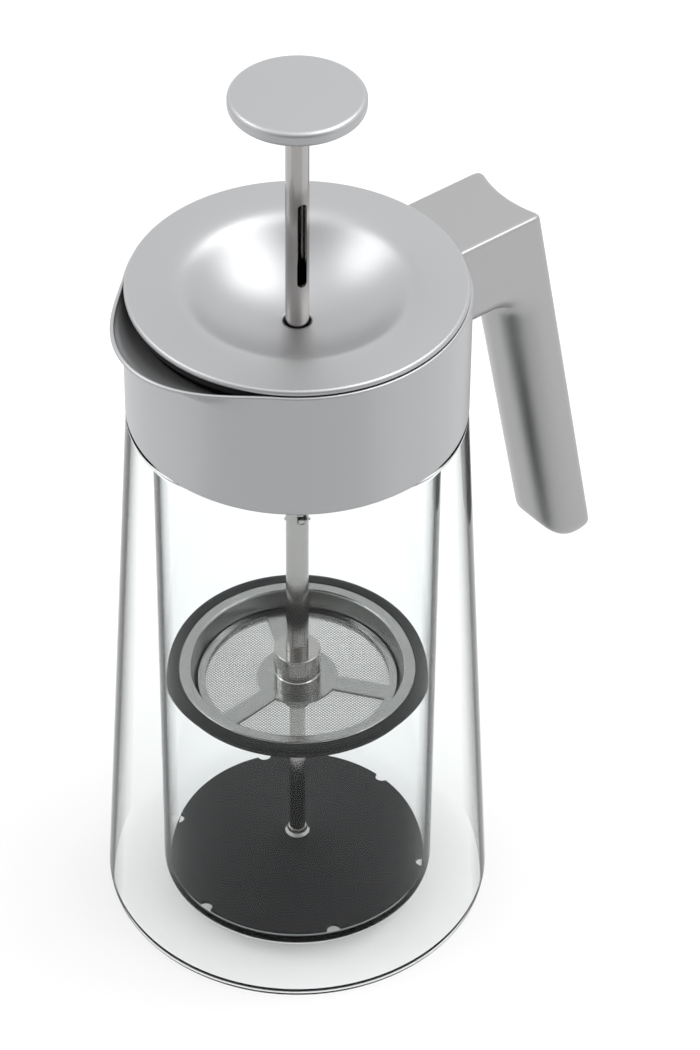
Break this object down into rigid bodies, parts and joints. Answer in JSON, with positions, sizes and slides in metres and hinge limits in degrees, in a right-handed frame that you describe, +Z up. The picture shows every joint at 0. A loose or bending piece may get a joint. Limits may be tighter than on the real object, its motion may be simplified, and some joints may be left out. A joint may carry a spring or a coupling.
{
  "type": "french press",
  "caption": "Double-walled glass coffee press with a satin collar, spout and leaning handle, a dished lid, and a slotted plunger tube around a rod that lifts a notched disc off the floor.",
  "frame": {"origin": "centre of the flat resting face under the outer glass", "axes": "+Z up along the plunger, +X towards the handle, -X towards the spout"},
  "size_m": [0.1691, 0.1216, 0.3044],
  "materials": {
    "clear_glass": "clear, polished",
    "satin_shell": "satin silver grey",
    "satin_handle": "satin silver grey paint",
    "polished_steel": "polished stainless steel",
    "pressed_steel": "satin stainless steel",
    "woven_steel": "fine woven wire",
    "dark_silicone": "matt",
    "black_silicone": "satin, near black",
    "dark_plastic": "dark grey, satin"
  },
  "bodies": {
    "beaker": {"inner_glass": "clear_glass", "outer_glass": "clear_glass", "collar_liner": "dark_silicone", "collar": "satin_shell", "handle": "satin_handle", "handle_screws": "polished_steel"},
    "gasket": {"lid_gasket": "dark_silicone"},
    "lid": {"lid_cover": "satin_shell", "lid_pan": "dark_plastic", "lid_strainer": "dark_plastic", "lid_bush": "dark_plastic", "bush_nut": "polished_steel"},
    "lifter": {"lifter_rod": "polished_steel", "guide_pin": "polished_steel", "grounds_disc": "black_silicone", "disc_ferrule": "polished_steel", "disc_screw": "polished_steel"},
    "plunger": {"plunger_tube": "polished_steel", "knob": "satin_shell", "knob_stud": "polished_steel", "filter_hub": "polished_steel", "spoke_plate": "pressed_steel", "mesh_screen": "woven_steel", "filter_pan": "pressed_steel", "filter_seal": "black_silicone", "taper_nut": "polished_steel"}
  },
  "joints": [
    {"name": "lid_lift", "type": "slide", "parent": "beaker", "child": "gasket", "axis": [0, 0, 1], "range_m": [0, 0.25]},
    {"name": "lid_turn", "type": "hinge", "parent": "gasket", "child": "lid", "pos_m": [0, 0, 0.2351], "axis": [0, 0, 1], "continuous": true},
    {"name": "lifter_raise", "type": "slide", "parent": "lid", "child": "lifter", "axis": [0, 0, 1], "range_m": [0, 0.11]},
    {"name": "press", "type": "slide", "parent": "lifter", "child": "plunger", "axis": [0, 0, 1], "range_m": [-0.054, 0]}
  ]
}
